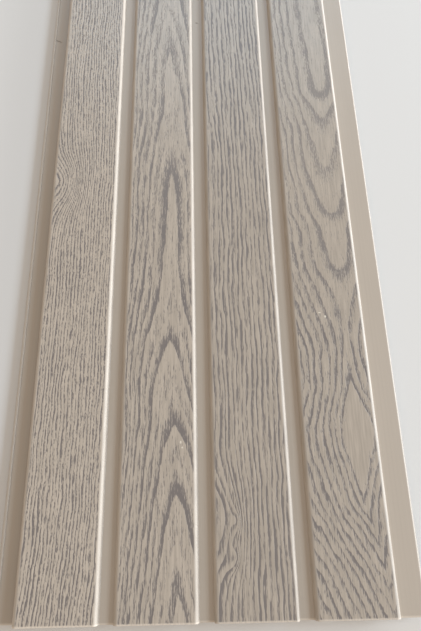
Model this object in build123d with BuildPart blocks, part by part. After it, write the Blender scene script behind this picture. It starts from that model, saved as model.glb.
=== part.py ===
"""Interlocking wall panel, extruded in one piece from foamed plastic.

The panel lies face up. X runs across it, Y along its length and Z up from its back.
Raised strips run the whole length, with grooves between them. The edge at -X is a nailing
flange with a lock rib, and a slot under the first strip. The edge at +X is a cover lip: on
a wall it forms one more groove, covers the next panel's flange and enters that panel's slot.
"""

import os

from build123d import *

# Length and face, in millimetres
panel_length = 1200.0
panel_thickness = 9.0
strip_count = 4
strip_pitch = 47.5
groove_width = 7.2
groove_depth = 2.6
shoulder_radius = 2.1
groove_corner_radius = 0.4

# Cover lip on the right edge
lip_thickness = 2.7
lip_entry = 6.0
lip_nose_radius = 1.2

# Nailing flange on the left edge, with the lock rib along its rim
flange_reach = 10.5
lock_rib_width = 1.6
lock_rib_height = 0.8
lock_rib_radius = 0.5

# Room between two panels that are locked together
face_clearance = 0.3
end_clearance = 0.6

# Shallow glue channel in the back, under each strip
channel_width = 26.0
channel_depth = 1.2
channel_side_angle = 45.0

# Widths that follow from the sizes above
cover_width = strip_count * strip_pitch
face_width = cover_width - groove_width
lip_reach = groove_width + lip_entry
panel_width = flange_reach + face_width + lip_reach

# Places across the panel
left_edge = -panel_width / 2
right_edge = panel_width / 2
face_left = left_edge + flange_reach
face_right = right_edge - lip_reach
face_middle = (face_left + face_right) / 2

# Heights above the back
groove_floor = panel_thickness - groove_depth
lip_underside = groove_floor - lip_thickness
flange_top = lip_underside - face_clearance
rib_top = flange_top + lock_rib_height
slot_roof = groove_floor + face_clearance

# Ends of the spaces that take the next panel's lip, flange and rib
slot_end = face_left + lip_entry + end_clearance
rebate_end = left_edge + cover_width - end_clearance
pocket_end = left_edge + cover_width + lock_rib_width + end_clearance
pocket_roof = rib_top + face_clearance

# Each radius stays within the wall that it rounds
shoulder_wall = panel_thickness - slot_roof
shoulder_round = min(shoulder_radius, 0.95 * shoulder_wall)
groove_round = min(groove_corner_radius, 0.9 * (groove_depth - shoulder_round))
nose_round = min(lip_nose_radius, 0.48 * lip_thickness)
rib_round = min(lock_rib_radius, 0.48 * lock_rib_width, 0.95 * lock_rib_height)

with BuildPart() as wall_panel:
    with BuildSketch(Plane.XZ) as section:
        with BuildLine():
            Polyline(
                (left_edge, 0),
                (rebate_end, 0),
                (rebate_end, pocket_roof),
                (pocket_end, pocket_roof),
                (pocket_end, lip_underside),
                (right_edge, lip_underside),
                (right_edge, groove_floor),
                (face_right, groove_floor),
                (face_right, panel_thickness),
                (face_left, panel_thickness),
                (face_left, slot_roof),
                (slot_end, slot_roof),
                (slot_end, flange_top),
                (left_edge + lock_rib_width, flange_top),
                (left_edge + lock_rib_width, rib_top),
                (left_edge, rib_top),
                close=True,
            )
        make_face()

        # Grooves between the strips
        with Locations((face_middle, panel_thickness)):
            with GridLocations(strip_pitch, 0, strip_count - 1, 1):
                Rectangle(
                    groove_width,
                    groove_depth,
                    align=(Align.CENTER, Align.MAX),
                    mode=Mode.SUBTRACT,
                )

        # Glue channels in the back
        with Locations((face_middle, 0)):
            with GridLocations(strip_pitch, 0, strip_count, 1):
                Trapezoid(
                    channel_width,
                    channel_depth,
                    channel_side_angle,
                    align=(Align.CENTER, Align.MIN),
                    mode=Mode.SUBTRACT,
                )

        # Rounded shoulders of the strips
        strip_corners = section.vertices().group_by(Axis.Y)[-1]
        fillet(strip_corners, shoulder_round)

        # Rounded roots of the grooves, and of the lip where it leaves the last strip
        floor_corners = section.vertices().filter_by(lambda corner: abs(corner.Y - groove_floor) < 0.01)
        fillet(floor_corners.sort_by(Axis.X)[:-1], groove_round)

        # Rounded nose of the cover lip
        nose_corners = section.vertices().group_by(Axis.X)[-1]
        fillet(nose_corners, nose_round)

        # Rounded top of the lock rib
        rib_corners = section.vertices().filter_by_position(Axis.X, left_edge - 0.01, face_left - 0.01)
        fillet(rib_corners.sort_by(Axis.Y)[-2:], rib_round)

    extrude(amount=panel_length / 2, both=True)

wall_panel.part.label = "wall_panel"

os.makedirs("parts", exist_ok=True)
export_step(wall_panel.part, "parts/wall_panel.step")
print(f"panel {panel_width:.1f} x {panel_length:.1f} x {panel_thickness:.1f} mm, covers {cover_width:.1f} mm")
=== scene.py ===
# %% [markdown]
# # A wall panel with a printed oak face
#
# This lesson dresses one plastic wall panel. The real panel is a single extrusion of cream foamed
# plastic. It has four raised strips with a grey oak print, and plain grooves between them. The packed
# solid already has the right section, so everything here starts from it and stays in its frame.
# The frame is in metres: X runs across the panel, Y along it and Z up out of its face. Sizes are in
# millimetres, as a maker would write them, and MM turns them into Blender's metres.

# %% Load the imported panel
import math

import bmesh
import bpy
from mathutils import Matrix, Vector


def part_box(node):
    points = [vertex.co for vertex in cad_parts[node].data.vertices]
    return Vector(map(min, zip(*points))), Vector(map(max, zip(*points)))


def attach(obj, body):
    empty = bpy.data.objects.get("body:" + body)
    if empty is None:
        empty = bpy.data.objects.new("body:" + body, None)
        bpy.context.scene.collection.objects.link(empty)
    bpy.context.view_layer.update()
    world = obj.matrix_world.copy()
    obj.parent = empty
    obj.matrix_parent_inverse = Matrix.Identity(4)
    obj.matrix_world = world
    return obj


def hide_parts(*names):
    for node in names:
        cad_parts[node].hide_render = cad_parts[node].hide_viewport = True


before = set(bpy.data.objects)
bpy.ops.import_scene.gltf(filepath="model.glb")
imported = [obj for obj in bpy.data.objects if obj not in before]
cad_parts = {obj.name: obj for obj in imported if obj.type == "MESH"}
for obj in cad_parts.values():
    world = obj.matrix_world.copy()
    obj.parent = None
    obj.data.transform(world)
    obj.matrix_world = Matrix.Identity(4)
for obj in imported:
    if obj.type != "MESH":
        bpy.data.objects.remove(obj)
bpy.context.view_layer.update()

MM = 0.001

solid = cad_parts["wall_panel"]
low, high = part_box("wall_panel")
print("panel solid", [round(side / MM, 1) for side in high - low], "mm")

# %% [markdown]
# ## Where things are on the section
#
# Every later step asks the same questions: which strip is this, and how far along the panel are we?
# So the few sizes of the section that the looks depend on are named once, and the places of the
# strips are worked out from them and from the solid's box.

# %% Name the section's sizes
STRIP_COUNT = 4
STRIP_PITCH = 47.5
GROOVE_WIDTH = 7.2
GROOVE_DEPTH = 2.6
SHOULDER_RADIUS = 2.1
FLANGE_REACH = 10.5

panel_length = (high.y - low.y) / MM
strip_width = STRIP_PITCH - GROOVE_WIDTH
strip_flat = strip_width - 2 * SHOULDER_RADIUS
face_left = low.x / MM + FLANGE_REACH
groove_floor = high.z / MM - GROOVE_DEPTH
strip_middles = [face_left + strip_width / 2 + strip * STRIP_PITCH for strip in range(STRIP_COUNT)]
print("strip middles", [round(middle, 2) for middle in strip_middles], "mm")

# %% [markdown]
# ## The panel's mesh
#
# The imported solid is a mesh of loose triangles, some of them as long as the panel. The dressed panel
# is a copy of it. Merging the doubles and dissolving the flat seams gives clean quads and the cut
# ends. Cross cuts then divide the length, so that small damage and the picture map have places to
# go. Extruding a new section would do as well, but the copy can't drift away from the solid.

# %% Copy the solid and cut it across
CUT_SPACING = 25.0
MERGE_DISTANCE = 0.002
CUT_TOLERANCE = 0.001
FLAT_ANGLE = math.radians(1.0)

tolerance = CUT_TOLERANCE * MM


def cut_across(mesh, along):
    """Adds a loop of edges round the whole panel, at a distance in millimetres from the near end."""
    everything = mesh.verts[:] + mesh.edges[:] + mesh.faces[:]
    place = Vector((0, low.y + along * MM, 0))
    bmesh.ops.bisect_plane(mesh, geom=everything, plane_co=place, plane_no=(0, 1, 0), dist=tolerance)


panel_mesh = bmesh.new()
panel_mesh.from_mesh(solid.data)
bmesh.ops.remove_doubles(panel_mesh, verts=panel_mesh.verts, dist=MERGE_DISTANCE * MM)
bmesh.ops.dissolve_limit(
    panel_mesh,
    angle_limit=FLAT_ANGLE,
    verts=panel_mesh.verts,
    edges=panel_mesh.edges,
    delimit={"NORMAL"},
)
print("merged section", len(panel_mesh.faces), "faces")

cut_count = round(panel_length / CUT_SPACING)
for cut in range(1, cut_count):
    cut_across(panel_mesh, cut * CUT_SPACING)
print("cut across into", len(panel_mesh.faces), "faces")

# %% [markdown]
# ## What the saw did to the near end
#
# The saw left two small chips on the near edge, one beside each shoulder of the third groove. A chip
# needs corners of its own. So one cut goes round the panel just behind it and three short ones go in
# at the top of the near end, and then the chip's middle is pushed in. A boolean with a small wedge
# would do too, but cuts keep the faces in order.

# %% Chip the near edge
CHIPS = [
    {"across": 40.7, "half_width": 0.9, "depth": 1.1, "drop": 0.35},
    {"across": 50.3, "half_width": 0.8, "depth": 1.0, "drop": 0.30},
]
CHIP_HEIGHT = 1.4
CUT_BEHIND = 1.6
SAME_PLACE = 0.01
END_FACING = 0.9

chip_bottom = high.z - CHIP_HEIGHT * MM


def cut_faces(mesh, faces, place, way):
    """Cuts only some faces, with a plane through a place."""
    parts = set(faces)
    for face in faces:
        parts.update(face.edges)
        parts.update(face.verts)
    bmesh.ops.bisect_plane(mesh, geom=list(parts), plane_co=place, plane_no=way, dist=tolerance)


def top_faces(mesh, along):
    """The faces at the top of the near end, no further along than a distance."""
    limit = low.y + along * MM + tolerance
    return [
        face for face in mesh.faces
        if all(vert.co.y < limit and vert.co.z > chip_bottom - tolerance for vert in face.verts)
    ]


def chip_edge(mesh, chip):
    """Pushes a small notch into the top of the near end."""
    along = CUT_BEHIND * chip["depth"]
    cut_across(mesh, along)
    for side in (-1, 0, 1):
        across = (chip["across"] + side * chip["half_width"]) * MM
        cut_faces(mesh, top_faces(mesh, along), (across, 0, 0), (1, 0, 0))
    for vert in mesh.verts:
        in_middle = abs(vert.co.x / MM - chip["across"]) < SAME_PLACE
        if in_middle and vert.co.y < low.y + tolerance and vert.co.z > chip_bottom + tolerance:
            vert.co += Vector((0, chip["depth"], -chip["drop"])) * MM


near_end = [face for face in panel_mesh.faces if face.normal.y < -END_FACING]
cut_faces(panel_mesh, near_end, (0, 0, chip_bottom), (0, 0, 1))
for chip in CHIPS:
    chip_edge(panel_mesh, chip)
print("near edge has", len(CHIPS), "chips")

# %% [markdown]
# ## A sliver in the second chip
#
# In the second chip a sliver of plastic still stands. It is a thin bent tongue, so its root is one
# small face that is extruded step by step round a quarter turn, a little narrower each time. The
# extrusion takes the root face along, so the root is closed again at the end. The sliver reaches
# from the chip's root to the plane of the cut and no further, so the panel's size stays.

# %% Leave a sliver
SLIVER = {"across": 50.7, "top": 8.1, "width": 0.6, "thickness": 0.25, "length": 0.45, "reach": 0.9}
SLIVER_STEPS = 5
SLIVER_TAPER = 0.7


def sliver_section(sliver, step):
    """The four corners of the sliver, so many steps along its bend."""
    share = step / SLIVER_STEPS
    bend = share * math.pi / 2
    inward = sliver["reach"] * (1 - math.sin(bend))
    height = sliver["top"] - sliver["length"] * (1 - math.cos(bend))
    half = sliver["width"] / 2 * (1 - SLIVER_TAPER * share)
    corners = []
    for side, back in ((-1, 0), (1, 0), (1, 1), (-1, 1)):
        across = (sliver["across"] + side * half) * MM
        along = low.y + (inward + back * sliver["thickness"]) * MM
        corners.append(Vector((across, along, height * MM)))
    return corners


def stand_sliver(mesh, sliver):
    """Extrudes a thin tongue of plastic that bends out of a chip, as far as the plane of the cut."""
    root = [mesh.verts.new(place) for place in sliver_section(sliver, 0)]
    corners = root[:]
    tip = mesh.faces.new(root)
    for step in range(1, SLIVER_STEPS + 1):
        tip = bmesh.ops.extrude_discrete_faces(mesh, faces=[tip])["faces"][0]
        for vert, place in zip(tip.verts, sliver_section(sliver, step)):
            vert.co = place
        corners += tip.verts
    mesh.faces.new(root[::-1])
    faces = list({face for corner in corners for face in corner.link_faces})
    bmesh.ops.recalc_face_normals(mesh, faces=faces)
    return len(faces)


print("sliver of", stand_sliver(panel_mesh, SLIVER), "faces")

# %% [markdown]
# ## Which face wears which finish
#
# Each strip carries its own piece of print, as if it were a board of its own, so each has its own
# material. Everything else is bare plastic, and the two sawn ends show the foam inside. Faces are
# sorted by where they lie on the section and by which way they look. Narrow faces belong to a round
# and are shaded smooth.

# %% Sort the faces
PLAIN, SAWN = STRIP_COUNT, STRIP_COUNT + 1
UP_FACING = 0.05
ROUND_FACE = 0.6

shoulder_foot = groove_floor + GROOVE_DEPTH / 4


def strip_of(face):
    """The number of the strip that a face tops, or None for bare plastic."""
    middle = face.calc_center_median() / MM
    strip = math.floor((middle.x - face_left) / STRIP_PITCH)
    if not 0 <= strip < STRIP_COUNT or face.normal.z < UP_FACING:
        return None
    inside = abs(middle.x - strip_middles[strip]) < strip_width / 2
    return strip if inside and middle.z > shoulder_foot else None


for face in panel_mesh.faces:
    strip = strip_of(face)
    if abs(face.normal.y) > END_FACING:
        face.material_index = SAWN
    else:
        face.material_index = PLAIN if strip is None else strip
    across = [vert.co.xz / MM for vert in face.verts]
    breadth = max((point - across[0]).length for point in across)
    face.smooth = breadth < ROUND_FACE
for material in range(SAWN + 1):
    count = sum(face.material_index == material for face in panel_mesh.faces)
    print("material", material, "has", count, "faces")

# %% [markdown]
# ## A map for the picture
#
# The finish is meant to be baked into a square picture. The panel is long and narrow, so
# a plain unwrap would waste most of that square. Here each strip is cut in two at mid length and the
# eight halves stand side by side, where the grain gets the pixels. The bare plastic has a narrow
# column with its outline unrolled, and the sawn ends have a band at the top.

# %% Say where a face goes on the map
PRINT_SHARE = 0.80
END_BAND = 0.03
MAP_GAP = 0.004
OUTLINE_DIGITS = 2


def unrolled_outline(mesh):
    """How far round the section each bare edge lies, by the middle of the edge, and the whole way."""
    end = max(mesh.faces, key=lambda face: (len(face.verts), -face.calc_center_median().y))
    places, way = {}, 0.0
    for loop in end.loops:
        start, stop = loop.vert.co.xz / MM, loop.link_loop_next.vert.co.xz / MM
        places[((start + stop) / 2).to_tuple(OUTLINE_DIGITS)] = (start, way)
        way += (stop - start).length
    return places, way


def map_strip(face, layer, strip):
    """Puts a strip's face into the column of its strip and half."""
    half = int(face.calc_center_median().y > 0)
    column = (2 * strip + half) * PRINT_SHARE / (2 * STRIP_COUNT)
    room = PRINT_SHARE / (2 * STRIP_COUNT) - MAP_GAP
    for loop in face.loops:
        point = loop.vert.co / MM
        across = (point.x - strip_middles[strip]) / strip_width + 0.5
        along = (point.y + panel_length / 2 * (1 - half)) / (panel_length / 2)
        loop[layer].uv = (column + room * across, along * (1 - END_BAND))


def map_plain(face, layer, places, way):
    """Puts a bare face into the unrolled column, by its place round the outline."""
    points = {(loop.vert.co.xz / MM).to_tuple(OUTLINE_DIGITS) for loop in face.loops}
    points = [Vector(point) for point in points]
    middle = sum(points, Vector((0, 0))) / len(points)
    key = min(places, key=lambda place: (Vector(place) - middle).length_squared)
    start, begun = places[key]
    for loop in face.loops:
        point = loop.vert.co / MM
        round_way = (begun + (point.xz - start).length) / way
        along = (point.y + panel_length / 2) / panel_length
        loop[layer].uv = (PRINT_SHARE + (1 - PRINT_SHARE) * round_way, along * (1 - END_BAND))


def map_end(face, layer):
    """Puts a sawn end into its half of the band at the top."""
    far = int(face.calc_center_median().y > 0)
    room = END_BAND / 2 - MAP_GAP
    for loop in face.loops:
        across = (loop.vert.co.x - low.x) / (high.x - low.x)
        up = loop.vert.co.z / high.z
        loop[layer].uv = (across, 1 - END_BAND / (1 + far) + MAP_GAP / 2 + room * up)


outline_places, outline_way = unrolled_outline(panel_mesh)
print("outline unrolled over", round(outline_way, 1), "mm")

# %% Lay out the picture map
picture_map = panel_mesh.loops.layers.uv.new("OFBake")
for face in panel_mesh.faces:
    if face.material_index == SAWN:
        map_end(face, picture_map)
    elif face.material_index == PLAIN:
        map_plain(face, picture_map, outline_places, outline_way)
    else:
        map_strip(face, picture_map, face.material_index)
print("map", picture_map.name, "laid out for", len(panel_mesh.faces), "faces")

# %% [markdown]
# ## The dressed panel takes the solid's place
#
# The bmesh becomes an object at the origin, with its place in its mesh. It rides on the one body that
# the panel has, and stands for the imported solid, which is then hidden.

# %% Make the panel object
panel_data = bpy.data.meshes.new("wall_panel_face")
panel_mesh.to_mesh(panel_data)
panel_mesh.free()
panel = bpy.data.objects.new("wall_panel_face", panel_data)
bpy.context.scene.collection.objects.link(panel)
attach(panel, "root")
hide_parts("wall_panel")
print(panel.name, "has", len(panel_data.polygons), "faces")

# %% [markdown]
# ## Helpers for shader nodes
#
# The finishes are sums on coordinates, so they are written as sums. Each helper adds one node or a
# few, feeds them with numbers or with other nodes' outputs, and gives back an output. A finish then
# reads from top to bottom, as a recipe does.

# %% Helpers for numbers


def feed(tree, socket, value):
    """Links an output to a socket, or sets the socket to a number or colour."""
    if isinstance(value, bpy.types.NodeSocket):
        tree.links.new(value, socket)
    else:
        socket.default_value = value


def reckon(tree, operation, *values):
    """One step of arithmetic on numbers."""
    node = tree.nodes.new("ShaderNodeMath")
    node.operation = operation
    for socket, value in zip(node.inputs, values):
        feed(tree, socket, value)
    return node.outputs[0]


def centred(tree, value):
    """A value from 0 to 1, moved to lie about 0."""
    return reckon(tree, "SUBTRACT", value, 0.5)


def ramp(tree, value, start, stop, first=0.0, last=1.0):
    """Eases from first to last while the value goes from start to stop."""
    node = tree.nodes.new("ShaderNodeMapRange")
    node.interpolation_type = "SMOOTHSTEP"
    for name, number in zip(("From Min", "From Max", "To Min", "To Max"), (start, stop, first, last)):
        feed(tree, node.inputs[name], number)
    feed(tree, node.inputs["Value"], value)
    return node.outputs["Result"]


def vector_of(tree, x, y, z):
    """Three numbers as one vector."""
    node = tree.nodes.new("ShaderNodeCombineXYZ")
    for socket, value in zip(node.inputs, (x, y, z)):
        feed(tree, socket, value)
    return node.outputs[0]


print("helpers for numbers ready")

# %% Helpers for noise and colour


def noise(tree, vector, detail=2.0, roughness=0.5):
    """Soft noise that changes over one unit of the vector, from 0 to 1 with a middle of 0.5."""
    node = tree.nodes.new("ShaderNodeTexNoise")
    feed(tree, node.inputs["Vector"], vector)
    node.inputs["Scale"].default_value = 1.0
    node.inputs["Detail"].default_value = detail
    node.inputs["Roughness"].default_value = roughness
    return node.outputs["Fac"]


def noise_over(tree, across, along, reach, seed):
    """Noise that changes over a reach across and a reach along. Each seed gives another pattern."""
    steps_across = reckon(tree, "DIVIDE", across, reach[0])
    steps_along = reckon(tree, "DIVIDE", along, reach[1])
    return noise(tree, vector_of(tree, steps_across, steps_along, seed))


def mix_colour(tree, share, first, second):
    """The first colour, with a share of the second laid over it."""
    node = tree.nodes.new("ShaderNodeMix")
    node.data_type = "RGBA"
    feed(tree, node.inputs["Factor"], share)
    feed(tree, node.inputs["A"], first)
    feed(tree, node.inputs["B"], second)
    return node.outputs["Result"]


def toned(tree, colour, tone):
    """A colour made lighter or darker by a tone about 1."""
    node = tree.nodes.new("ShaderNodeVectorMath")
    node.operation = "SCALE"
    node.inputs[0].default_value = colour[:3]
    feed(tree, node.inputs["Scale"], tone)
    return node.outputs[0]


print("helpers for noise and colour ready")

# %% Helpers for groups


def new_group(name, inputs, outputs):
    """An empty shader group that gives out numbers, and its two rows of sockets."""
    tree = bpy.data.node_groups.new(name, "ShaderNodeTree")
    for socket in inputs:
        kind = "NodeSocketVector" if socket == "Place" else "NodeSocketFloat"
        tree.interface.new_socket(name=socket, in_out="INPUT", socket_type=kind)
    for socket in outputs:
        tree.interface.new_socket(name=socket, in_out="OUTPUT", socket_type="NodeSocketFloat")
    start = tree.nodes.new("NodeGroupInput")
    stop = tree.nodes.new("NodeGroupOutput")
    return tree, start.outputs, stop.inputs


def use_group(tree, group, values):
    """Places a group in a tree, feeds its inputs by name and gives back its outputs."""
    node = tree.nodes.new("ShaderNodeGroup")
    node.node_tree = group
    for name, value in values.items():
        feed(tree, node.inputs[name], value)
    return node.outputs


print("helpers for groups ready")

# %% [markdown]
# ## Finding the place on a strip
#
# The print follows the strip, so its pattern is drawn in millimetres across from the strip's middle
# and along from the near end. This small group turns object coordinates into those two numbers.

# %% Group: place on a strip
strip_place, given, result = new_group("strip_place", ["Place", "Middle"], ["Across", "Along"])
tree = strip_place
split = tree.nodes.new("ShaderNodeSeparateXYZ")
feed(tree, split.inputs[0], given["Place"])
across_panel = reckon(tree, "DIVIDE", split.outputs["X"], MM)
feed(tree, result["Across"], reckon(tree, "SUBTRACT", across_panel, given["Middle"]))
along_panel = reckon(tree, "DIVIDE", split.outputs["Y"], MM)
feed(tree, result["Along"], reckon(tree, "ADD", along_panel, panel_length / 2))
print("group", tree.name)

# %% [markdown]
# ## How a board shows its rings
#
# A board is a flat cut through a tree of nested rings. A curve says which ring the cut shows on the
# tree's axis, and the count grows with the distance aside from that axis. Where the count on the axis
# changes along the board, the rings close into the pointed arches of oak. So one number, the ring
# count, draws the whole figure. Drawing single lines would be slower, and they would not join up.
# Noise makes the rings wander.

# %% Group: ring figure
BROAD_SWAY = (24.0, 70.0)
CLOSE_SWAY = (4.0, 15.0)
CLOSE_SHARE = 0.38
UNEVEN_PACE = 0.7

ring_figure, given, result = new_group(
    "ring_figure",
    [
        "Across", "Along", "Axis", "Axis Ring", "Ring Width", "Fine Reach",
        "Pointed", "Uneven", "Wander", "Seed",
    ],
    ["Ring", "Aside"],
)
tree = ring_figure
broad = noise_over(tree, given["Across"], given["Along"], BROAD_SWAY, given["Seed"])
close = noise_over(tree, given["Across"], given["Along"], CLOSE_SWAY, given["Seed"])
sway = reckon(tree, "MULTIPLY_ADD", centred(tree, close), CLOSE_SHARE, centred(tree, broad))
sway = reckon(tree, "MULTIPLY", sway, given["Wander"])
from_axis = reckon(tree, "SUBTRACT", reckon(tree, "ADD", given["Across"], sway), given["Axis"])
from_axis = reckon(tree, "ABSOLUTE", from_axis)
fine = reckon(tree, "DIVIDE", from_axis, given["Fine Reach"])
even = reckon(tree, "DIVIDE", from_axis, given["Ring Width"])
sideways = reckon(tree, "MULTIPLY_ADD", fine, fine, even)
pointed = reckon(tree, "MULTIPLY_ADD", given["Pointed"], 2.0, sideways)
square = reckon(tree, "MULTIPLY", sideways, pointed)
rings = reckon(tree, "SQRT", reckon(tree, "MULTIPLY_ADD", given["Axis Ring"], given["Axis Ring"], square))
ring_pace = reckon(tree, "MULTIPLY", rings, UNEVEN_PACE)
uneven = noise(tree, vector_of(tree, ring_pace, given["Seed"], 0.0), detail=1.0)
rings = reckon(tree, "MULTIPLY_ADD", centred(tree, uneven), given["Uneven"], rings)
feed(tree, result["Ring"], rings)
feed(tree, result["Aside"], from_axis)
print("group", tree.name)

# %% [markdown]
# ## Soft spots
#
# Near a knot the lines swing aside and close up again. A smooth hump that pushes the pattern sideways
# does this, and a strong push even closes some lines into small eyes. The same hump, cut off at a
# level, also makes the pale specks and the scratches, so it is a group of its own.

# %% Group: soft spot
soft_spot, given, result = new_group(
    "soft_spot",
    ["Across", "Along", "Middle Across", "Middle Along", "Reach Across", "Reach Along"],
    ["Spot"],
)
tree = soft_spot
offset_across = reckon(tree, "SUBTRACT", given["Across"], given["Middle Across"])
offset_across = reckon(tree, "DIVIDE", offset_across, given["Reach Across"])
offset_along = reckon(tree, "SUBTRACT", given["Along"], given["Middle Along"])
offset_along = reckon(tree, "DIVIDE", offset_along, given["Reach Along"])
spread = reckon(tree, "MULTIPLY", offset_across, offset_across)
spread = reckon(tree, "MULTIPLY_ADD", offset_along, offset_along, spread)
feed(tree, result["Spot"], reckon(tree, "EXPONENT", reckon(tree, "MULTIPLY", spread, -1.0)))


def spot_at(tree, across, along, middle_across, middle_along, reach_across, reach_along):
    """How near a place is to a spot: 1 in its middle, about a third at its reach."""
    values = {
        "Across": across,
        "Along": along,
        "Middle Across": middle_across,
        "Middle Along": middle_along,
        "Reach Across": reach_across,
        "Reach Along": reach_along,
    }
    return use_group(tree, soft_spot, values)["Spot"]


print("group", soft_spot.name)

# %% [markdown]
# ## Ink in the pores
#
# Oak's early wood is a band of open pores, sharp where the ring starts and thinning outwards. Some
# rings are bolder than others, so each ring's profile has a strength of its own. The pores run along
# the board whatever the ring does, so a band is made of short upright strokes with ragged ends, and
# finer flecks break them up. The ink is the profile plus stroke noise, cut off at a level, and a few
# loose strokes lie between the rings.

# %% Group: pore strokes, with the profile of a ring
BAND_RISE = (0.0, 0.14)
BAND_FALL_FROM = 0.1
BOLD_STEP = 3.7
BOLD_REACH = 32.0
BOLD_NOISE = (0.3, 0.7)
BOLD_RANGE = (0.68, 1.18)
NEAR_AXIS = (4.0, 12.0)

pore_strokes, given, result = new_group(
    "pore_strokes",
    [
        "Ring", "Aside", "Across", "Along", "Stroke Width", "Stroke Length",
        "Band", "Second", "Inner", "Ragged", "Loose", "Seed",
    ],
    ["Ink", "Streak"],
)
tree = pore_strokes
phase = reckon(tree, "FRACT", given["Ring"])
rise = ramp(tree, phase, *BAND_RISE)
fall = ramp(tree, phase, BAND_FALL_FROM, given["Band"], 1.0, 0.0)
profile = reckon(tree, "MULTIPLY", rise, fall)
count = reckon(tree, "FLOOR", given["Ring"])
bold_ring = reckon(tree, "MULTIPLY", count, BOLD_STEP)
bold_along = reckon(tree, "DIVIDE", given["Along"], BOLD_REACH)
boldness = noise(tree, vector_of(tree, bold_ring, bold_along, given["Seed"]), detail=1.0)
boldness = ramp(tree, boldness, *BOLD_NOISE, *BOLD_RANGE)
odd = reckon(tree, "MODULO", count, 2.0)
weak = ramp(tree, given["Aside"], *NEAR_AXIS, given["Inner"], given["Second"])
boldness = reckon(tree, "MULTIPLY", boldness, ramp(tree, odd, 0.0, 1.0, 1.0, weak))
profile = reckon(tree, "MULTIPLY", profile, boldness)
print("profile of a ring takes", len(tree.nodes), "nodes")

# %% Pore strokes, with strokes, flecks and streaks
STROKE_ROUGHNESS = 0.6
FLECK_FINER = 1.4
FLECK_SHORTER = 3.2
FLECK_SHARE = 0.7
FLECK_SEED = 9.0
INK_LEVELS = (0.3, 0.8)
STROKE_INK = 0.84
BAND_INK = 0.16
LOOSE_LEVELS = (0.06, 0.24)
STREAK_REACH = (0.9, 16.0)
STREAK_SEED = 5.0

stroke_across = reckon(tree, "DIVIDE", given["Across"], given["Stroke Width"])
stroke_along = reckon(tree, "DIVIDE", given["Along"], given["Stroke Length"])
stroke = vector_of(tree, stroke_across, stroke_along, given["Seed"])
stroke = centred(tree, noise(tree, stroke, roughness=STROKE_ROUGHNESS))
fleck_across = reckon(tree, "MULTIPLY", stroke_across, FLECK_FINER)
fleck_along = reckon(tree, "MULTIPLY", stroke_along, FLECK_SHORTER)
fleck_seed = reckon(tree, "ADD", given["Seed"], FLECK_SEED)
fleck = centred(tree, noise(tree, vector_of(tree, fleck_across, fleck_along, fleck_seed)))
broken = reckon(tree, "MULTIPLY_ADD", fleck, FLECK_SHARE, stroke)
level = reckon(tree, "MULTIPLY_ADD", broken, given["Ragged"], profile)
band_ink = ramp(tree, level, *INK_LEVELS, 0.0, STROKE_INK)
band_ink = reckon(tree, "MULTIPLY_ADD", profile, BAND_INK, band_ink)
loose_ink = ramp(tree, stroke, *LOOSE_LEVELS, 0.0, given["Loose"])
feed(tree, result["Ink"], reckon(tree, "MINIMUM", reckon(tree, "MAXIMUM", band_ink, loose_ink), 1.0))
streak_seed = reckon(tree, "ADD", given["Seed"], STREAK_SEED)
streak = noise_over(tree, given["Across"], given["Along"], STREAK_REACH, streak_seed)
feed(tree, result["Streak"], streak)
print("group", tree.name)

# %% [markdown]
# ## Where the print stops
#
# The printed film covers the flat of a strip. It thins out over the rounded shoulders, and it is taken
# off along the cut ends, where the bare cream paints a highlight on the lit rim. This group says how much
# print is left.

# %% Group: print cover
PRINT_FADE = 0.7
# Painted highlight: no print on a thin rim at the cut ends, so the rim shows light cream.
PAINTED_RIM_BARE = 0.7
EDGE_REACH = (1.0, 9.0)

print_cover, given, result = new_group("print_cover", ["Across", "Along"], ["Cover"])
tree = print_cover
edge_noise = centred(tree, noise_over(tree, given["Across"], given["Along"], EDGE_REACH, 0.0))
from_middle = reckon(tree, "ADD", reckon(tree, "ABSOLUTE", given["Across"]), edge_noise)
flat_half = strip_flat / 2
sides = ramp(tree, from_middle, flat_half - PRINT_FADE / 2, flat_half + PRINT_FADE, 1.0, 0.0)
from_end = reckon(tree, "PINGPONG", given["Along"], panel_length / 2)
# Painted highlight: the print is taken off near the cut ends.
painted_rim_bare = ramp(tree, reckon(tree, "ADD", from_end, edge_noise), PAINTED_RIM_BARE / 2, PAINTED_RIM_BARE * 3 / 2)
feed(tree, result["Cover"], reckon(tree, "MULTIPLY", sides, painted_rim_bare))
print("group", tree.name)

# %% [markdown]
# ## The bare plastic
#
# Foamed plastic comes out of the die with faint lines along its length and a slightly cloudy tone. One
# group gives that tone to every material on the panel, so that strips, grooves and back belong
# together. It also paints the sawn ends and a thin rim round them lighter, a painted highlight where
# the cut edge catches the light.

# %% Group: drawn plastic
DIE_LINE_REACH = (0.7, 240.0)
DIE_LINE_TONE = 0.10
CLOUD_REACH = (18.0, 60.0)
CLOUD_TONE = 0.08
# Painted highlight on the sawn ends and the thin rim round them.
PAINTED_RIM_REACH = (0.3, 1.1)
PAINTED_RIM_LIGHT = 1.3

drawn_plastic, given, result = new_group("drawn_plastic", ["Place"], ["Tone"])
tree = drawn_plastic
split = tree.nodes.new("ShaderNodeSeparateXYZ")
feed(tree, split.inputs[0], given["Place"])
x_mm, y_mm, z_mm = [reckon(tree, "DIVIDE", split.outputs[axis], MM) for axis in "XYZ"]
die_lines = centred(tree, noise_over(tree, x_mm, y_mm, DIE_LINE_REACH, z_mm))
clouds = centred(tree, noise_over(tree, x_mm, y_mm, CLOUD_REACH, z_mm))
tone = reckon(tree, "MULTIPLY_ADD", die_lines, DIE_LINE_TONE, 1.0)
tone = reckon(tree, "MULTIPLY_ADD", clouds, CLOUD_TONE, tone)
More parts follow.
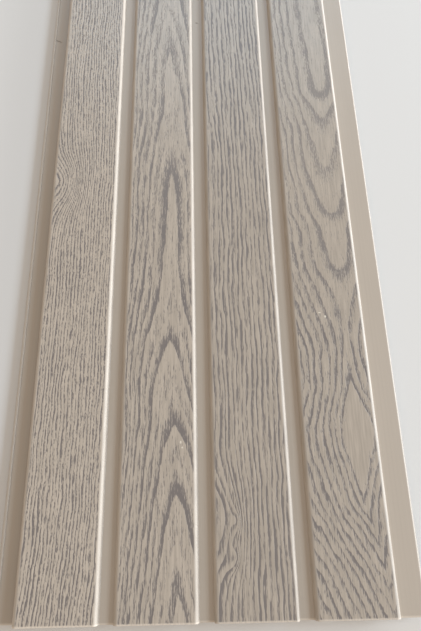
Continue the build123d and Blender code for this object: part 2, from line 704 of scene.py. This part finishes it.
# Painted highlight: the sawn ends and a thin rim round them are painted lighter, as the cut edge catches
# the light.
from_end = reckon(tree, "PINGPONG", reckon(tree, "ADD", y_mm, panel_length / 2), panel_length / 2)
tone = reckon(tree, "MULTIPLY", tone, ramp(tree, from_end, *PAINTED_RIM_REACH, PAINTED_RIM_LIGHT, 1.0))
feed(tree, result["Tone"], tone)
print("group", tree.name)

# %% [markdown]
# ## The oak print, strip by strip
#
# Each strip is a different board, described by a few values. A value that changes along the panel is
# a curve of given (distance along, value) points. The axis is where the tree's middle lies
# across the strip, and rings is the ring that shows there. Ring width and fine reach say how fast the
# rings follow each other aside from the axis, and pointed how sharp their arches are. Where the count
# on the axis grows away from the near end, the arches point away from it, and where it falls they
# point back. Uneven and wander disturb the rings.
#
# A stroke is so wide and so long, and a band is the share of a ring that its pores take up. Second and
# inner weaken every other ring, far from the axis and near it. Ragged tears the bands, loose is the
# strength of the strokes between them, ink that of the whole print, and tone is how light the board is.
# The tones fall from the first strip to the fourth, which paints light on the left strips and shade on
# the right ones. Where the ink curve dips a few hundred millimetres from the near end, the weaker ink
# paints the film's far sheen.
# A swirl is a soft spot with a push, a speck a pale soft spot, and a heart a plain patch on the axis.
#
# The first strip has fine, straight lines, close together. They swing round a knot at the left.

# %% The first board, fine and straight
first_board = {
    "axis": [(0, -64), (100, -60), (250, -60), (500, -63), (800, -57), (1200, -61)],
    "rings": 2.0,
    "ring_width": 1.75,
    "fine_reach": 200.0,
    "pointed": 0.0,
    "uneven": 0.7,
    "wander": 6.0,
    "stroke": (0.6, 4.5),
    "band": 0.86,
    "second": 0.95,
    "inner": 1.0,
    "ragged": 3.0,
    "loose": 0.55,
    "ink": 1.0,
    # Painted light: the first strip is toned lighter than the others.
    "tone": 1.07,
    "swirls": [(-12, 240, 12, 20, 11), (10, 560, 8, 30, -5), (-6, 905, 7, 16, 8)],
    "hearts": [],
    "specks": [],
    "seed": 3.1,
}
print("first board has", len(first_board["swirls"]), "swirls")

# %% [markdown]
# ## The second board
#
# The second strip shows a row of tall arches, one inside another, with close lines at both sides. For
# the first 400 mm they all point away from the near end. Every other ring is weak near the axis, so
# the bold arches stand far apart.

# %% The second board, with tall arches
second_board = {
    "axis": [
        (0, 10), (57, 9.5), (91, 8.5), (136, 5.5), (235, 6.6), (337, 5), (390, 4), (620, -4), (900, -7),
        (1200, 3),
    ],
    "rings": [
        (0, 15.6), (10, 16), (56, 18), (91, 20), (135, 22), (150, 22.9), (165, 23.5), (180, 23.7),
        (210, 23.85), (235, 24), (262, 24.6), (285, 25.2), (300, 25.45), (320, 25.75), (337, 26),
        (365, 26.6), (390, 27.2), (430, 27.6), (500, 27.6), (580, 27), (650, 26), (720, 24), (780, 22),
        (850, 20.4), (930, 20), (1000, 22), (1070, 24), (1140, 26), (1200, 27.4),
    ],
    "ring_width": 1.9,
    "fine_reach": 19.0,
    "pointed": 3.0,
    "uneven": 0.35,
    "wander": 7.0,
    "stroke": (0.5, 7.5),
    "band": 1.0,
    "second": 0.8,
    "inner": 0.4,
    "ragged": 3.0,
    "loose": 0.3,
    # Painted sheen: the ink dips where the film's far sheen lies.
    "ink": [(0, 1), (200, 0.97), (320, 0.82), (700, 0.9), (1200, 1)],
    # Painted light and shade: the tones fall from strip to strip towards the right.
    "tone": 0.98,
    "swirls": [],
    "hearts": [],
    "specks": [(11.8, 82.3, 0.5, 0.9), (12.6, 79.6, 0.5, 0.5)],
    "seed": 7.4,
}
print("second board has", len(second_board["rings"]), "points on its ring curve")

# %% [markdown]
# ## The third board
#
# The third strip is straight again, with longer strokes and wider rings than the first. Near the cut
# its lines swirl round a small knot at the left, where three soft spots overlap.

# %% The third board, straight with a knot
third_board = {
    "axis": [(0, -50), (200, -48), (400, -51), (700, -46), (950, -52), (1200, -48)],
    "rings": 2.0,
    "ring_width": 2.7,
    "fine_reach": 200.0,
    "pointed": 0.0,
    "uneven": 0.7,
    "wander": 6.0,
    "stroke": (0.6, 10.0),
    "band": 0.9,
    "second": 0.95,
    "inner": 1.0,
    "ragged": 2.3,
    "loose": 0.35,
    "ink": [(0, 0.97), (1200, 0.95)],
    # Painted shade: the right-hand strips are toned darker.
    "tone": 0.92,
    "swirls": [
        (-13, 43, 10, 21, 9), (-15, 44, 4, 6, 5), (-14, 27, 4, 5, 5), (12, 640, 6, 26, -7),
        (8, 1010, 7, 22, 6),
    ],
    "hearts": [],
    "specks": [],
    "seed": 12.7,
}
print("third board has", len(third_board["swirls"]), "swirls")

# %% [markdown]
# ## The fourth board
#
# The fourth strip has a plain heart near its right side, and the rings part round it: before the heart
# the arches point to the near end, and just past it they point away. Further on they turn and point
# back in wide bows.

# %% The fourth board, with a plain heart
fourth_board = {
    "axis": [
        (0, 14), (40, 11), (52, 9.5), (87, 9), (134, 9.7), (183, 9.3), (252, 9), (304, 9.5), (420, 7),
        (640, 0), (900, -6), (1200, -4),
    ],
    "rings": [
        (0, 45.4), (14, 44), (26, 42.8), (38, 41.6), (55, 40), (70, 38.7), (82, 37.85), (86, 37.75),
        (92, 38.1), (102, 39.1), (112, 40), (122, 40.4), (132, 40.72), (142, 40.8), (152, 40.82),
        (158, 40.8), (163, 40.74), (180, 40), (192, 39.8), (205, 39.66), (216, 39), (224, 38.8),
        (232, 38.66), (250, 38), (262, 37.8), (270, 37.66), (287, 37), (293, 36.8), (297, 36.66),
        (309, 36), (325, 35.88), (360, 35.84), (400, 35.8), (440, 35.2), (520, 36), (640, 38.4),
        (760, 41.2), (860, 42.4), (960, 40), (1060, 38), (1130, 36.4), (1200, 35),
    ],
    "ring_width": [(0, 3.7), (100, 3.7), (175, 1.5), (1200, 1.5)],
    "fine_reach": 200.0,
    "pointed": [(0, 40), (100, 40), (175, 0.5), (1200, 0.5)],
    "uneven": 0.0,
    "wander": 8.0,
    "stroke": (0.55, 7.0),
    "band": 0.75,
    "second": 0.95,
    "inner": 0.95,
    "ragged": 3.0,
    "loose": 0.3,
    # Painted sheen: the ink dips where the film's far sheen lies.
    "ink": [(0, 1), (150, 0.97), (260, 0.72), (500, 0.8), (1200, 1)],
    # Painted shade: the right-hand strips are toned darker.
    "tone": 0.91,
    "swirls": [(12, 2, 19, 34, 3)],
    "hearts": [(84, 27, 7.8)],
    "specks": [(-4.6, 151.6, 0.9, 0.4), (-1.6, 149.2, 0.6, 0.8)],
    "seed": 18.9,
}
print("fourth board has", len(fourth_board["hearts"]), "plain heart")

# %% [markdown]
# ## From a board to its ink
#
# A curve node reads a listed curve along the panel. With it, the groups above turn a board's values
# into ink: swirls push the pattern aside first, then come the rings and the strokes in them.

# %% Read a curve along the panel
CURVE_ROOM = 1.0


def along_board(tree, along, value):
    """A plain number as it is, or a curve of (distance along, value) points, read at a distance."""
    if not isinstance(value, list):
        return value
    heights = [height for _, height in value]
    bottom = min(heights) - CURVE_ROOM
    span = max(heights) + CURVE_ROOM - bottom
    places = [(distance / panel_length, (height - bottom) / span) for distance, height in value]
    node = tree.nodes.new("ShaderNodeFloatCurve")
    line = node.mapping.curves[0]
    line.points[0].location = places[0]
    line.points[1].location = places[-1]
    for place in places[1:-1]:
        line.points.new(*place)
    for point in line.points:
        point.handle_type = "AUTO_CLAMPED"
    node.mapping.update()
    feed(tree, node.inputs["Value"], reckon(tree, "DIVIDE", along, panel_length))
    return reckon(tree, "MULTIPLY_ADD", node.outputs["Value"], span, bottom)


print("curves run over", round(panel_length), "mm")

# %% Draw a board's ink
HEART_EDGE = (0.9, 1.05)


def swirled(tree, across, along, swirls):
    """The distance across, after each swirl has pushed the pattern aside."""
    for *spot, push in swirls:
        hump = spot_at(tree, across, along, *spot)
        across = reckon(tree, "SUBTRACT", across, reckon(tree, "MULTIPLY", hump, push))
    return across


def left_plain(tree, ink, along, aside, hearts):
    """The ink, without what would lie in a heart, which is a long diamond on the axis."""
    for far, half_length, half_width in hearts:
        away = reckon(tree, "ABSOLUTE", reckon(tree, "SUBTRACT", along, far))
        away = reckon(tree, "DIVIDE", away, half_length)
        away = reckon(tree, "ADD", away, reckon(tree, "DIVIDE", aside, half_width))
        ink = reckon(tree, "MULTIPLY", ink, ramp(tree, away, *HEART_EDGE))
    return ink


def board_ink(tree, board, across, along):
    """The ink of a board's rings and pores, and the streaks of light and dark between them."""
    figure = {
        "Across": swirled(tree, across, along, board["swirls"]),
        "Along": along,
        "Axis": along_board(tree, along, board["axis"]),
        "Axis Ring": along_board(tree, along, board["rings"]),
        "Ring Width": along_board(tree, along, board["ring_width"]),
        "Fine Reach": board["fine_reach"],
        "Pointed": along_board(tree, along, board["pointed"]),
        "Uneven": board["uneven"],
        "Wander": board["wander"],
        "Seed": board["seed"],
    }
    figure = use_group(tree, ring_figure, figure)
    strokes = {
        "Ring": figure["Ring"],
        "Aside": figure["Aside"],
        "Across": across,
        "Along": along,
        "Stroke Width": board["stroke"][0],
        "Stroke Length": board["stroke"][1],
        "Band": board["band"],
        "Second": board["second"],
        "Inner": board["inner"],
        "Ragged": board["ragged"],
        "Loose": board["loose"],
        "Seed": board["seed"],
    }
    drawn = use_group(tree, pore_strokes, strokes)
    ink = left_plain(tree, drawn["Ink"], along, figure["Aside"], board["hearts"])
    return ink, drawn["Streak"]


print("boards can be drawn")

# %% [markdown]
# ## From ink to a printed finish
#
# Each board's material lays its grey ink over the cream plastic. The pores are a little rougher and lie
# a little lower than the film round them. On the shoulders, where the film stops, the bare plastic has
# a broader shine, which a thin coat gives it.

# %% Helpers for materials


def new_material(name):
    """A material with one Principled BSDF, and the object coordinates to draw on."""
    material = bpy.data.materials.new(name)
    material.use_nodes = True
    tree = material.node_tree
    shader = tree.nodes["Principled BSDF"]
    place = tree.nodes.new("ShaderNodeTexCoord").outputs["Object"]
    return material, tree, shader, place


def relief(tree, shader, height, depth):
    """Feeds a height from 0 to 1 into the surface, as bumps so many millimetres deep."""
    node = tree.nodes.new("ShaderNodeBump")
    node.inputs["Distance"].default_value = depth * MM
    feed(tree, node.inputs["Height"], height)
    tree.links.new(node.outputs["Normal"], shader.inputs["Normal"])


print("helpers for materials ready")

# %% Build the printed materials
CREAM = (0.485, 0.420, 0.350, 1.0)
INK = (0.195, 0.173, 0.164, 1.0)
SPECK = (0.72, 0.66, 0.56, 1.0)
SPECK_EDGE = (0.3, 0.7)
STREAK_NOISE = (0.2, 0.8)
STREAK_TONE = 0.12
FILM_ROUGHNESS = 0.34
PORE_ROUGHNESS = 0.44
BARE_ROUGHNESS = 0.62
PORE_DEPTH = 0.035


def oak_print(strip, board):
    """The printed finish of one strip."""
    material, tree, shader, place = new_material(f"oak_print_{strip + 1}")
    spot = use_group(tree, strip_place, {"Place": place, "Middle": strip_middles[strip]})
    across, along = spot["Across"], spot["Along"]
    cover = use_group(tree, print_cover, {"Across": across, "Along": along})["Cover"]
    ink, streak = board_ink(tree, board, across, along)
    ink = reckon(tree, "MULTIPLY", ink, cover)
    # The board's tone also carries painted light and shade: lighter on the left strips, darker on the
    # right.
    darkest, lightest = board["tone"] - STREAK_TONE, board["tone"] + STREAK_TONE
    streak = ramp(tree, streak, *STREAK_NOISE, darkest, lightest)
    plastic = use_group(tree, drawn_plastic, {"Place": place})["Tone"]
    cream = toned(tree, CREAM, reckon(tree, "MULTIPLY", plastic, streak))
    # Where a board's ink curve dips, the weaker ink paints the far sheen of the film.
    share = reckon(tree, "MULTIPLY", ink, along_board(tree, along, board["ink"]))
    printed = mix_colour(tree, share, cream, INK)
    specks = 0.0
    for speck in board["specks"]:
        specks = reckon(tree, "ADD", specks, spot_at(tree, across, along, *speck))
    specks = ramp(tree, specks, *SPECK_EDGE)
    feed(tree, shader.inputs["Base Color"], mix_colour(tree, specks, printed, SPECK))
    film = ramp(tree, ink, 0.0, 1.0, FILM_ROUGHNESS, PORE_ROUGHNESS)
    feed(tree, shader.inputs["Roughness"], ramp(tree, cover, 0.0, 1.0, BARE_ROUGHNESS, film))
    feed(tree, shader.inputs["Coat Weight"], ramp(tree, cover, 0.0, 1.0, 1.0, 0.0))
    shader.inputs["Coat Roughness"].default_value = BARE_ROUGHNESS
    relief(tree, shader, reckon(tree, "SUBTRACT", 1.0, ink), PORE_DEPTH)
    return material


for strip, board in enumerate((first_board, second_board, third_board, fourth_board)):
    panel_data.materials.append(oak_print(strip, board))
print("printed materials", len(panel_data.materials))

# %% [markdown]
# ## Bare plastic and sawn ends
#
# The grooves, the flange, the lip and the back are the same cream plastic with no print. It has two
# marks: a nick in the flange and a short scratch in the second groove, each a soft spot that leans. The
# sawn ends show the foam with its small pores, which cell noise draws; the pores are painted darker, as
# painted shade in the open cells.

# %% Build the plain plastic
PLAIN_ROUGHNESS = 0.42
SCRATCHED = (0.27, 0.22, 0.17, 1.0)
SCRATCH_DEPTH = 0.25
SCRATCH_EDGE = (0.25, 0.75)
SCRATCHES = [
    {"across": -100.0, "along": 360.6, "reach": (2.7, 0.45), "lean": 0.43},
    {"across": -1.6, "along": 371.8, "reach": (1.2, 0.4), "lean": 0.10},
]


def plain_plastic():
    """Cream plastic as it leaves the die, with its scratches."""
    material, tree, shader, place = new_material("plain_plastic")
    plastic = use_group(tree, drawn_plastic, {"Place": place})["Tone"]
    spot = use_group(tree, strip_place, {"Place": place, "Middle": 0.0})
    across, along = spot["Across"], spot["Along"]
    scratched = 0.0
    for scratch in SCRATCHES:
        aside = reckon(tree, "SUBTRACT", across, scratch["across"])
        leaning = reckon(tree, "MULTIPLY_ADD", aside, scratch["lean"], along)
        mark = spot_at(tree, across, leaning, scratch["across"], scratch["along"], *scratch["reach"])
        scratched = reckon(tree, "ADD", scratched, mark)
    scratched = ramp(tree, scratched, *SCRATCH_EDGE)
    cream = toned(tree, CREAM, plastic)
    feed(tree, shader.inputs["Base Color"], mix_colour(tree, scratched, cream, SCRATCHED))
    shader.inputs["Roughness"].default_value = PLAIN_ROUGHNESS
    relief(tree, shader, reckon(tree, "SUBTRACT", 1.0, scratched), SCRATCH_DEPTH)
    return material


panel_data.materials.append(plain_plastic())
print("plain plastic has", len(SCRATCHES), "scratches")

# %% Build the sawn foam
SAWN_CREAM = (0.50, 0.445, 0.375, 1.0)
SAWN_ROUGHNESS = 0.75
FOAM_CELL = 0.8
FOAM_PORE_EDGE = (0.15, 0.5)
PORE_PAINTED_SHADE = 0.82
FOAM_PORE_DEPTH = 0.15


def sawn_foam():
    """The foam that a saw has laid open."""
    material, tree, shader, place = new_material("sawn_foam")
    plastic = use_group(tree, drawn_plastic, {"Place": place})["Tone"]
    cells = tree.nodes.new("ShaderNodeTexVoronoi")
    feed(tree, cells.inputs["Vector"], place)
    cells.inputs["Scale"].default_value = 1 / (FOAM_CELL * MM)
    pores = ramp(tree, cells.outputs["Distance"], *FOAM_PORE_EDGE)
    # Painted shade: the open foam cells are painted darker.
    tone = reckon(tree, "MULTIPLY", plastic, ramp(tree, pores, 0.0, 1.0, PORE_PAINTED_SHADE, 1.0))
    feed(tree, shader.inputs["Base Color"], toned(tree, SAWN_CREAM, tone))
    shader.inputs["Roughness"].default_value = SAWN_ROUGHNESS
    relief(tree, shader, pores, FOAM_PORE_DEPTH)
    return material


panel_data.materials.append(sawn_foam())
print("all materials", [material.name for material in panel_data.materials])

# %% [markdown]
# ## Floor, light and camera
#
# The panel lies on a plain pale floor. A wide soft lamp stands low on the right, so that the shoulders
# that face it shine and the right side of each groove lies in soft shade. A smaller side lamp lights
# the strips, a faint cool lamp past the far end gives the film a sheen, and the world fills the shade
# with warm light. Floor and lamps are large, so their sizes and places are in metres. The camera
# stands close above the near end, as the photograph's did, with its place worked out from the lines
# of the strips.

# %% Lay the floor
FLOOR_HALF = 6.0
FLOOR_GAP = 0.2
FLOOR_PALE = (0.74, 0.73, 0.71, 1.0)
FLOOR_ROUGHNESS = 0.8

floor_mesh = bmesh.new()
bmesh.ops.create_grid(floor_mesh, x_segments=1, y_segments=1, size=FLOOR_HALF)
floor_data = bpy.data.meshes.new("floor")
floor_mesh.to_mesh(floor_data)
floor_mesh.free()
floor = bpy.data.objects.new("floor", floor_data)
floor.location.z = low.z - FLOOR_GAP * MM
bpy.context.scene.collection.objects.link(floor)
floor_paint, _, floor_shader, _ = new_material("pale_floor")
floor_shader.inputs["Base Color"].default_value = FLOOR_PALE
floor_shader.inputs["Roughness"].default_value = FLOOR_ROUGHNESS
floor_data.materials.append(floor_paint)
print("floor laid")

# %% Set the lamps
LAMPS = {
    "low_lamp": {
        "place": (5.7, 2.5, 0.75),
        "target": (0.0, -0.3, 0.0),
        "size": (9.6, 1.3),
        "power": 680.0,
        "colour": (0.93, 0.97, 1.0),
    },
    "side_lamp": {
        "place": (2.6, -0.3, 1.5),
        "target": (0.0, -0.4, 0.0),
        "size": (1.6, 0.9),
        "power": 62.0,
        "colour": (0.70, 0.85, 1.0),
    },
    "far_lamp": {
        "place": (0.1, 1.9, 1.6),
        "target": (0.0, -0.2, 0.0),
        "size": (1.8, 1.0),
        "power": 19.0,
        "colour": (0.42, 0.72, 1.0),
    },
}


def soft_lamp(name, place, target, size, power, colour):
    """Hangs a soft lamp with a rectangular face, turned to a point."""
    lamp_data = bpy.data.lights.new(name, "AREA")
    lamp_data.shape = "RECTANGLE"
    lamp_data.size, lamp_data.size_y = size
    lamp_data.energy = power
    lamp_data.color = colour
    lamp = bpy.data.objects.new(name, lamp_data)
    lamp.location = place
    way = Vector(target) - Vector(place)
    lamp.rotation_euler = way.to_track_quat("-Z", "Y").to_euler()
    bpy.context.scene.collection.objects.link(lamp)


for name, lamp in LAMPS.items():
    soft_lamp(name, **lamp)
print("lamps set", list(LAMPS))

# %% Fill the shade
FILL_COLOUR = (1.0, 0.82, 0.65, 1.0)
FILL_STRENGTH = 0.55

world = bpy.data.worlds.new("studio")
bpy.context.scene.world = world
world.use_nodes = True
sky = world.node_tree.nodes["Background"]
sky.inputs["Color"].default_value = FILL_COLOUR
sky.inputs["Strength"].default_value = FILL_STRENGTH
bpy.context.scene.view_settings.view_transform = "Standard"
print("world strength", FILL_STRENGTH)

# %% Stand the camera over the near end
FRAME_HEIGHT = 631
FOCAL_PIXELS = 474.0
SENSOR_WIDTH = 36.0
NEAREST_SEEN = 10.0
EYE = (2.55, -531.78, 263.55)
EYE_ANGLES = (18.058, 0.146, -1.222)

camera_data = bpy.data.cameras.new("camera")
camera_data.sensor_width = SENSOR_WIDTH
camera_data.lens = FOCAL_PIXELS / FRAME_HEIGHT * SENSOR_WIDTH
camera_data.clip_start = NEAREST_SEEN * MM
camera = bpy.data.objects.new("camera", camera_data)
camera.location = Vector(EYE) * MM
camera.rotation_euler = [math.radians(angle) for angle in EYE_ANGLES]
bpy.context.scene.collection.objects.link(camera)
bpy.context.scene.camera = camera
print("camera lens", round(camera_data.lens, 2), "mm")
